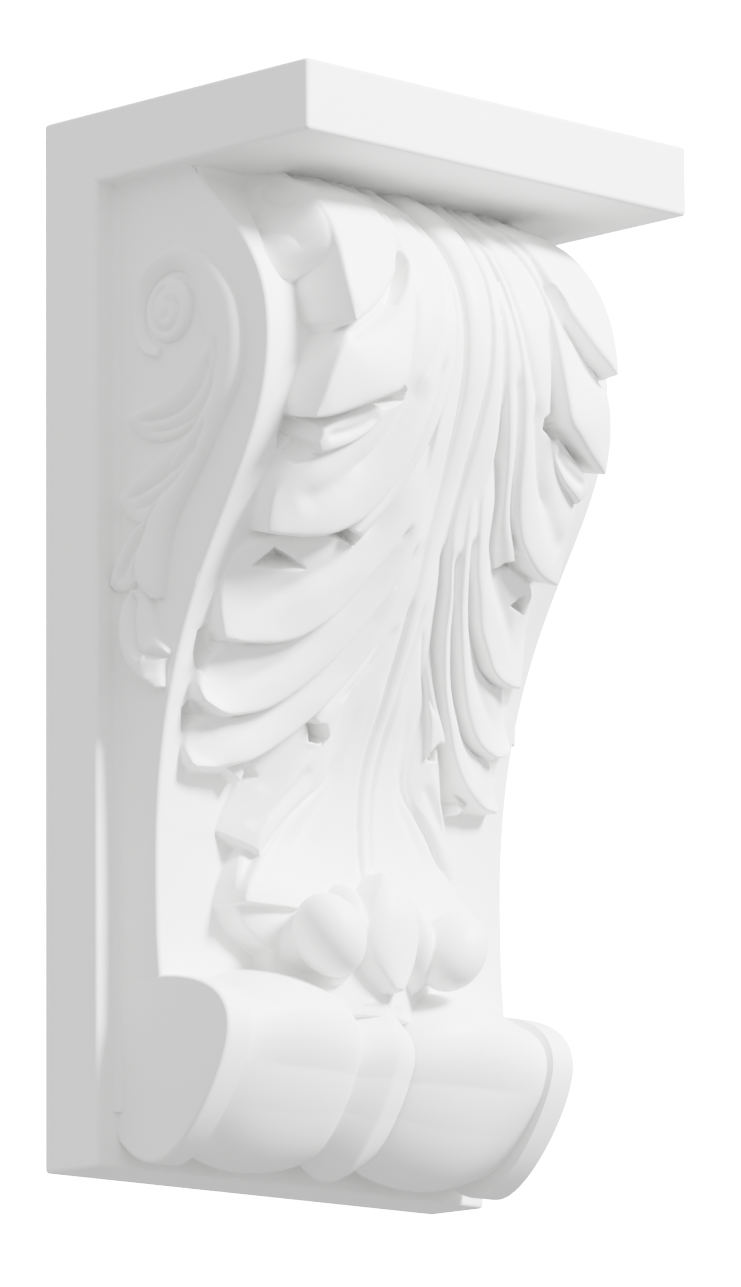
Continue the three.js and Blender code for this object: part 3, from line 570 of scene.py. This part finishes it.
# Lines scored into a carving, or raised on it where the depth is negative: (shape, depth,
# width, how far the ends fade, points). A soft line is a hollow, a crease is a sharp line.
LEAF_SCORES = [
    ("soft", 2.2, 1.4, 8, [(8.4, -6), (8.2, 6), (7.8, 20)]),
    ("soft", 2.4, 1.4, 8, [(18.5, -6), (17, 8), (15, 20), (13.4, 36)]),
    ("soft", 1.6, 1.1, 8, [(23.4, -6), (21.5, 9), (19, 22)]),
    ("soft", 2.4, 1.4, 7, [(32.2, -6), (30.5, 8), (28.6, 20)]),
    ("soft", 2.0, 1.3, 6, [(44.7, -6), (43, 6), (41, 15)]),
    ("crease", 1.5, 1.5, 8, [(13.4, 30), (13.6, 46), (15.8, 54), (19, 62), (24, 71), (28.7, 80),
                             (34, 88), (41, 95)]),
    ("soft", 1.5, 3.2, 6, [(22, 67), (28.6, 79), (34, 88), (41, 95.5), (47, 100.5), (53, 105.4)]),
    ("soft", 1.2, 1.5, 3, [(34, 50.6), (40, 55.8), (47, 59.8), (52, 62)]),
    ("soft", 1.0, 1.2, 3, [(52, 85.6), (41, 81.4), (35, 77.4)]),
    ("crease", 2.0, 0.9, 4, [(56.8, 45.6), (60.4, 40.6), (61.4, 35), (58.6, 26), (54, 12)]),
    ("crease", 1.4, 0.9, 4, [(55.6, 46), (55.2, 54.6), (54.6, 60)]),
    ("crease", 1.5, 0.9, 3, [(49.6, 6), (51.6, 16), (53, 26)]),
    ("crease", 1.2, 1.0, 3, [(56.4, 20), (57.6, 31), (57.2, 40)]),
    ("crease", 1.0, 0.8, 2, [(53.6, 43.6), (57, 45)]),
    ("soft", 1.7, 2.9, 16, [(17.5, 92), (24.2, 107.6), (30.3, 116.4), (41.5, 127.4), (53, 140)]),
    ("soft", 1.2, 2.6, 16, [(14, 106), (20, 121), (26, 134), (36, 148), (46, 157), (57, 164)]),
    ("soft", 1.1, 2.4, 16, [(11, 120), (17, 136), (23, 149), (32, 160), (42, 171), (55, 180)]),
    ("crease", 0.9, 0.8, 5, [(4.6, 132), (9.5, 145.6), (15.6, 155.2), (20, 161)]),
    ("crease", 1.0, 0.9, 8, [(13, 174), (15.2, 184.6), (23, 192.6), (28.6, 198.3), (33.4, 205),
                             (38, 211)]),
    ("crease", -0.5, 1.2, 6, [(19, 186), (24.8, 191), (30.5, 197), (35.6, 203.5), (38.2, 209)]),
    ("soft", 0.9, 1.6, 4, [(22, 181), (29, 190), (35, 196.4), (40.6, 202)]),
    ("soft", 0.9, 1.5, 4, [(23, 173), (31, 184), (37, 191)]),
    ("crease", 1.2, 0.9, 8, [(2.6, 122), (2.4, 140), (2.4, 158), (2.4, 184), (2.2, 214)]),
    ("crease", -0.6, 1.2, 8, [(4.2, 150), (4.0, 170), (3.8, 190), (3.8, 212)]),
    ("soft", 0.6, 1.8, 10, [(9, 158), (12, 172), (13.4, 186), (20, 196), (28, 208)]),
]
# Creases under the low edges of lobes: how deep, and from which share of the edge on
UNDERCUTS = {"first lobe": (1.0, 0.5), "second lobe": (2.0, 0.5), "third lobe": (2.0, 0.45),
             "third lobe flute": (1.2, 0.0), "fourth lobe": (2.2, 0.2), "fifth lobe": (2.2, 0.2),
             "sixth lobe": (1.8, 0.5)}

# Hollows and holes cut down to a floor: (height of the floor, outline)
LEAF_HOLES = [
    (12.0, [(28.4, 40.6), (31.5, 41.6), (34, 45), (35.4, 49.5), (37, 52.5), (34.6, 53), (30.5, 48.5),
            (27.6, 43.5)]),
    (-1.0, [(37, 75.2), (33.4, 72), (30.2, 70), (28.1, 71.2), (28.5, 73.4), (33.6, 75.6)]),
    (-4.0, [(53.2, 83.6), (58.2, 82.6), (58.8, 88), (56.8, 92.8), (54.2, 88)]),
    (0.0, [(55.4, 87.6), (54.6, 86.8), (52.2, 89.6), (53.6, 92.3), (55.8, 94.4)]),
    (-1.0, [(35.5, 107), (29.2, 109.2), (28, 112.5), (31.5, 111.6), (37.6, 111.6)]),
    (0.0, [(50.4, 119.2), (45, 120.6), (41.4, 122.3), (46, 123.8), (54, 126)]),
    (-4.0, [(60.4, 146), (62.8, 148), (62.4, 154), (60, 158.6), (57.4, 153)]),
    (-4.0, [(60.8, 167.6), (62.8, 170), (61.6, 176), (58.6, 171.4)]),
    (2.0, [(25.4, 168.6), (22.8, 168.2), (20.4, 172), (22, 174), (25, 173.6)]),
    (0.5, [(42.6, 184.6), (37.4, 183), (36.6, 186), (39.7, 188.4)]),
]

CHEEK_SCORES = [
    ("crease", 1.6, 1.0, 4, [(46.6, 243.6), (49, 240), (47.6, 235.4), (43.6, 233.6), (39.6, 236.4),
                             (38.8, 241.4), (41.6, 245.6), (46, 246.4)]),
    ("soft", 1.0, 1.2, 3, [(43.4, 243.4), (46, 241), (45, 237.6), (42, 237.4)]),
    ("crease", 1.8, 0.9, 5, [(62.4, 225), (58.6, 216.4), (53, 211), (45, 208.6), (34, 209)]),
    ("crease", 1.5, 0.9, 5, [(64.6, 222), (60.6, 212.6), (54.4, 207.4), (46, 205.4), (37, 205.6)]),
    ("crease", 1.8, 0.9, 5, [(65.4, 229.7), (64.6, 217), (60.4, 209), (55, 203.4), (50, 200.6)]),
    ("crease", 1.8, 0.9, 5, [(62.6, 206.4), (56, 198.6), (49.6, 193.4), (41, 190.4), (29, 187)]),
    ("crease", 1.5, 0.9, 5, [(59, 201), (50, 190.8), (43, 186.6), (31, 184)]),
    ("crease", 1.8, 0.9, 4, [(44, 187.6), (37, 178.8), (31.4, 172), (24.6, 163.6)]),
    ("crease", 1.5, 0.9, 4, [(38.6, 180.6), (34, 172.4), (30, 163.6)]),
    ("crease", 2.4, 1.0, 3, [(32.5, 161), (32.3, 150), (34, 144), (37.6, 142)]),
    ("crease", 2.2, 1.0, 1, [(36.6, 142.4), (45.4, 140.6)]),
    ("crease", 1.6, 0.9, 6, [(43.4, 160), (45.6, 172.6), (50.2, 181.4), (58.2, 191.8), (65, 201),
                             (72, 211.4), (75.2, 221), (75, 232), (72, 241)]),
]


# How far places lie from a line, and how far along it their nearest points are
def from_line(line, across, along):
    best = np.full(len(across), np.inf)
    spot = np.zeros(len(across))
    far = lengths(line)
    for k in range(len(line) - 1):
        way = line[k + 1] - line[k]
        length = far[k + 1] - far[k]
        a, b = across - line[k, 0], along - line[k, 1]
        t = np.clip((a * way[0] + b * way[1]) / length ** 2, 0, 1)
        away = np.hypot(a - way[0] * t, b - way[1] * t)
        closer = away < best
        best[closer] = away[closer]
        spot[closer] = far[k] + t[closer] * length
    return best, spot, far[-1]


def inside(outline, across, along):
    odd = np.zeros(len(across), bool)
    for (a0, b0), (a1, b1) in zip(outline, np.roll(outline, -1, axis=0)):
        spans = (b0 > along) != (b1 > along)
        rise = (b1 - b0) if abs(b1 - b0) > 1e-9 else 1e-9
        odd ^= spans & (across < a0 + (along - b0) * (a1 - a0) / rise)
    return odd


# Cuts scores and holes into a melted piece, on both halves
def score(piece, off_sheet, scores, holes, fold_over):
    points = np.empty(len(piece.data.vertices) * 3)
    piece.data.vertices.foreach_get("co", points)
    points = points.reshape(-1, 3) / UNIT
    across, along, height, out = off_sheet(points)
    if fold_over:
        across = np.abs(across)
    front = np.flatnonzero(height > SKIN)
    across, along, tall = across[front], along[front], height[front].copy()
    for shape, deep, wide, soft, drawn in scores:
        line = smooth_line(drawn, 40)
        low, high = line.min(0) - wide * SCORE_REACH, line.max(0) + wide * SCORE_REACH
        near = np.flatnonzero((across > low[0]) & (across < high[0]) & (along > low[1])
                              & (along < high[1]))
        away, spot, end = from_line(line, across[near], along[near])
        fade = ease(spot / soft) * ease((end - spot) / soft)
        profile = np.exp(-away / wide) if shape == "crease" else np.exp(-(away / wide) ** 2)
        tall[near] -= deep * profile * fade
    for floor, drawn in holes:
        outline = np.array(drawn, float)
        low, high = outline.min(0) - 1, outline.max(0) + 1
        near = np.flatnonzero((across > low[0]) & (across < high[0]) & (along > low[1])
                              & (along < high[1]) & (tall > floor))
        ring = np.vstack([outline, outline[:1]])
        away, _, _ = from_line(ring, across[near], along[near])
        away = np.where(inside(outline, across[near], along[near]), away, -away)
        tall[near] += (floor - tall[near]) * ease(away / HOLE_EDGE + 0.5)
    points[front] += out[front] * (tall - height[front])[:, None]
    piece.data.vertices.foreach_set("co", (points * UNIT).ravel())
    piece.data.update()


def undercuts():
    scores = []
    for name, (deep, start) in UNDERCUTS.items():
        low = smooth_line(LOBES[name]["low"], EDGE_POINTS)
        high = smooth_line(LOBES[name]["high"], EDGE_POINTS)
        way = low[:, :2] - high[:, :2]
        way /= np.maximum(np.linalg.norm(way, axis=1), 1e-6)[:, None]
        line = (low[:, :2] + way * (UNDERCUT_WIDTH + DRAFT * 2))[int(start * EDGE_POINTS):]
        scores.append(("crease", deep, UNDERCUT_WIDTH, UNDERCUT_FADE, line[::4]))
    return scores


def new_object(mesh, name):
    piece = bpy.data.objects.new(name, mesh)
    bpy.context.scene.collection.objects.link(piece)
    return piece


def face_outwards(piece):
    made = bmesh.new()
    made.from_mesh(piece.data)
    bmesh.ops.recalc_face_normals(made, faces=made.faces)
    made.to_mesh(piece.data)
    made.free()


def bake_modifiers(piece):
    graph = bpy.context.evaluated_depsgraph_get()
    made = bpy.data.meshes.new_from_object(piece.evaluated_get(graph))
    made.name = piece.name
    piece.modifiers.clear()
    piece.data = made


def soften(piece, rounds):
    smooth = piece.modifiers.new("soften", "SMOOTH")
    smooth.factor = 0.5
    smooth.iterations = rounds
    bake_modifiers(piece)


# Melts a heap of shells into one softened skin
def melt(piece, voxel, rounds):
    remesh = piece.modifiers.new("melt", "REMESH")
    remesh.mode = "VOXEL"
    remesh.voxel_size = voxel * UNIT
    bake_modifiers(piece)
    soften(piece, rounds)


def thin(piece, most):
    triangles = sum(len(face.vertices) - 2 for face in piece.data.polygons)
    if triangles > most:
        fewer = piece.modifiers.new("thin", "DECIMATE")
        fewer.ratio = most / triangles
        bake_modifiers(piece)
    piece.data.shade_smooth()


def carving():
    shells = Shells()
    body(shells)
    for drawn in LOBES.values():
        lobe(shells, on_front, **drawn)
    ridge(shells, POD)
    ridge(shells, NECK_ROWS)
    ridge(shells, MIDRIB, MIDRIB_FLAT)
    bulb(shells, **BULB)
    bulb(shells, **BULB_ROOT)
    bulb(shells, **PETAL)
    piece = new_object(shells.mesh("carved_body"), "carved_body")
    melt(piece, VOXEL, 3)
    score(piece, off_front, undercuts() + LEAF_SCORES, LEAF_HOLES, True)
    soften(piece, 1)
    thin(piece, MOST_TRIANGLES)
    return piece


def scrolls():
    shells = Shells()
    for drawn in CHEEK.values():
        lobe(shells, on_cheek, steps=110, count=28, **drawn)
    coil(shells, **COIL)
    piece = new_object(shells.mesh("cheek_scrolls"), "cheek_scrolls")
    melt(piece, CHEEK_VOXEL, 3)
    score(piece, off_cheek, CHEEK_SCORES, [], False)
    soften(piece, 1)
    thin(piece, MOST_CHEEK_TRIANGLES)
    return piece


# Back plate and slab in one, with rounded edges and a cove where they meet
def plate_and_slab():
    outline = [(0, 0), (PLATE, 0), (PLATE, UNDERSIDE), (SLAB_DEPTH, UNDERSIDE), (SLAB_DEPTH, HEIGHT),
               (0, HEIGHT)]
    made = bmesh.new()
    sides = [[made.verts.new((x, -d * UNIT, (z - HEIGHT / 2) * UNIT)) for d, z in outline]
             for x in (-WIDTH / 2 * UNIT, WIDTH / 2 * UNIT)]
    made.faces.new(sides[0])
    made.faces.new(sides[1][::-1])
    for k, a in enumerate(sides[0]):
        after = (k + 1) % len(outline)
        made.faces.new((sides[0][after], a, sides[1][k], sides[1][after]))
    bmesh.ops.recalc_face_normals(made, faces=made.faces)
    mesh = bpy.data.meshes.new("plate_and_slab")
    made.to_mesh(mesh)
    made.free()
    piece = new_object(mesh, "plate_and_slab")
    round_off = piece.modifiers.new("round", "BEVEL")
    round_off.width = EDGE_ROUND * UNIT
    round_off.segments = 5
    round_off.limit_method = "ANGLE"
    bake_modifiers(piece)
    piece.data.shade_smooth()
    even = piece.modifiers.new("even", "WEIGHTED_NORMAL")
    even.keep_sharp = True
    bake_modifiers(piece)
    return piece


# Concave fillets where the cheeks meet the plate and the slab. The section is drawn from
# the corner: its two legs lie just under the two faces.
def coves():
    shells = Shells()
    turn = np.linspace(0, np.pi / 2, 9)
    arc = [(COVE * (1 - np.sin(k)) - COVE_SUNK, COVE * (1 - np.cos(k)) - COVE_SUNK)
           for k in turn]
    section = [(-COVE_LEG, -COVE_LEG), (COVE, -COVE_LEG), *arc, (-COVE_LEG, COVE)]
    ends = (ROLL_TOP * 0.3, UNDERSIDE + 0.5)
    rings = [[(HALF_BODY + a, -(PLATE + b), z - HEIGHT / 2) for a, b in section] for z in ends]
    shells.skin(rings, mirror=True)
    depths = (PLATE - 1, THROAT)
    rings = [[(HALF_BODY + a, -d, UNDERSIDE - b - HEIGHT / 2) for a, b in section] for d in depths]
    shells.skin(rings, mirror=True)
    piece = new_object(shells.mesh("cheek_coves"), "cheek_coves")
    face_outwards(piece)
    piece.data.shade_smooth()
    piece.data.set_sharp_from_angle(angle=0.6)
    return piece


# Satin white moulding: faint cloudiness, a fine tooth and a slightly uneven sheen
def moulding():
    material = bpy.data.materials.new("white_moulding")
    material.use_nodes = True
    nodes, links = material.node_tree.nodes, material.node_tree.links
    shader = nodes["Principled BSDF"]
    shader.inputs["Specular IOR Level"].default_value = 0.42
    shader.inputs["Metallic"].default_value = 0.0
    place = nodes.new("ShaderNodeTexCoord")

    def noise(scale, detail, rough=0.5):
        node = nodes.new("ShaderNodeTexNoise")
        node.inputs["Scale"].default_value = scale
        node.inputs["Detail"].default_value = detail
        node.inputs["Roughness"].default_value = rough
        links.new(place.outputs["Object"], node.inputs["Vector"])
        return node

    cloud = noise(14, 4, 0.6)
    tint = nodes.new("ShaderNodeValToRGB")
    tint.color_ramp.elements[0].position = 0.3
    tint.color_ramp.elements[0].color = (0.84, 0.84, 0.83, 1)
    tint.color_ramp.elements[1].position = 0.7
    tint.color_ramp.elements[1].color = (0.875, 0.875, 0.868, 1)
    links.new(cloud.outputs["Fac"], tint.inputs["Fac"])
    links.new(tint.outputs["Color"], shader.inputs["Base Color"])

    sheen = noise(60, 5, 0.55)
    span = nodes.new("ShaderNodeMapRange")
    span.inputs["To Min"].default_value = 0.42
    span.inputs["To Max"].default_value = 0.58
    links.new(sheen.outputs["Fac"], span.inputs["Value"])
    links.new(span.outputs["Result"], shader.inputs["Roughness"])

    tooth = noise(900, 3, 0.5)
    wave = noise(45, 2, 0.5)
    mix = nodes.new("ShaderNodeMath")
    mix.operation = "MULTIPLY_ADD"
    mix.inputs[1].default_value = 0.12
    links.new(tooth.outputs["Fac"], mix.inputs[0])
    links.new(wave.outputs["Fac"], mix.inputs[2])
    bump = nodes.new("ShaderNodeBump")
    bump.inputs["Strength"].default_value = 0.12
    bump.inputs["Distance"].default_value = 0.0006
    links.new(mix.outputs[0], bump.inputs["Height"])
    links.new(bump.outputs["Normal"], shader.inputs["Normal"])
    return material


def floor():
    made = bmesh.new()
    bmesh.ops.create_grid(made, x_segments=1, y_segments=1, size=6)
    mesh = bpy.data.meshes.new("floor")
    made.to_mesh(mesh)
    made.free()
    piece = new_object(mesh, "floor")
    piece.location = (0, 0, FLOOR_LEVEL)
    material = bpy.data.materials.new("pale_floor")
    material.use_nodes = True
    material.node_tree.nodes["Principled BSDF"].inputs["Base Color"].default_value = FLOOR_TINT
    material.node_tree.nodes["Principled BSDF"].inputs["Roughness"].default_value = 0.8
    mesh.materials.append(material)


# Studio
FLOOR_LEVEL = -1.3
FLOOR_TINT = (0.36, 0.36, 0.36, 1)
FILL = 1.7
BACKDROP = 40.0
LAMPS = {
    "key": dict(azimuth=19, elevation=36, away=2.2, size=0.6, power=50, spread=70),
}


def lamp(name, azimuth, elevation, away, size, power, spread):
    light = bpy.data.lights.new(name, "AREA")
    light.energy = power
    light.shape = "DISK"
    light.size = size
    light.spread = np.radians(spread)
    piece = new_object(light, name)
    side, up = np.radians(azimuth), np.radians(elevation)
    back = Vector((np.sin(side) * np.cos(up), -np.cos(side) * np.cos(up), np.sin(up)))
    piece.location = back * away
    piece.rotation_euler = back.to_track_quat("Z", "Y").to_euler()


def world():
    scene_world = bpy.data.worlds.new("studio")
    scene_world.use_nodes = True
    nodes, links = scene_world.node_tree.nodes, scene_world.node_tree.links
    fill = nodes["Background"]
    fill.inputs["Color"].default_value = (1, 1, 1, 1)
    fill.inputs["Strength"].default_value = FILL
    seen = nodes.new("ShaderNodeBackground")
    seen.inputs["Strength"].default_value = BACKDROP
    path = nodes.new("ShaderNodeLightPath")
    mix = nodes.new("ShaderNodeMixShader")
    links.new(path.outputs["Is Camera Ray"], mix.inputs["Fac"])
    links.new(fill.outputs["Background"], mix.inputs[1])
    links.new(seen.outputs["Background"], mix.inputs[2])
    links.new(mix.outputs["Shader"], nodes["World Output"].inputs["Surface"])
    bpy.context.scene.world = scene_world


# The camera at the photo's place: 45 degrees to the left and a little below the corbel
CAMERA_SPOT = (-1.6417, -1.6991, -0.4258)
CAMERA_YAW = np.radians(44.93)
CAMERA_PITCH = 0.1821
CAMERA_ROLL = -0.0075
CAMERA_LENS = 233.57


def camera():
    lens = bpy.data.cameras.new("camera")
    lens.lens = CAMERA_LENS
    lens.sensor_width = 36
    lens.clip_end = 50
    piece = new_object(lens, "camera")
    forward = Vector((np.sin(CAMERA_YAW) * np.cos(CAMERA_PITCH),
                      np.cos(CAMERA_YAW) * np.cos(CAMERA_PITCH), np.sin(CAMERA_PITCH)))
    level = Vector((np.cos(CAMERA_YAW), -np.sin(CAMERA_YAW), 0))
    above = level.cross(forward)
    right = level * np.cos(CAMERA_ROLL) + above * np.sin(CAMERA_ROLL)
    up = above * np.cos(CAMERA_ROLL) - level * np.sin(CAMERA_ROLL)
    axes = Matrix((right, up, -forward)).transposed()
    piece.matrix_world = Matrix.Translation(Vector(CAMERA_SPOT) * UNIT / 0.001) @ axes.to_4x4()
    bpy.context.scene.camera = piece


finish = moulding()
for piece in (carving(), roll(), scrolls(), plate_and_slab(), coves()):
    piece.data.materials.clear()
    piece.data.materials.append(finish)
    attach(piece, "root")
    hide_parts("corbel")

floor()
world()
for name, settings in LAMPS.items():
    lamp(name, **settings)
camera()
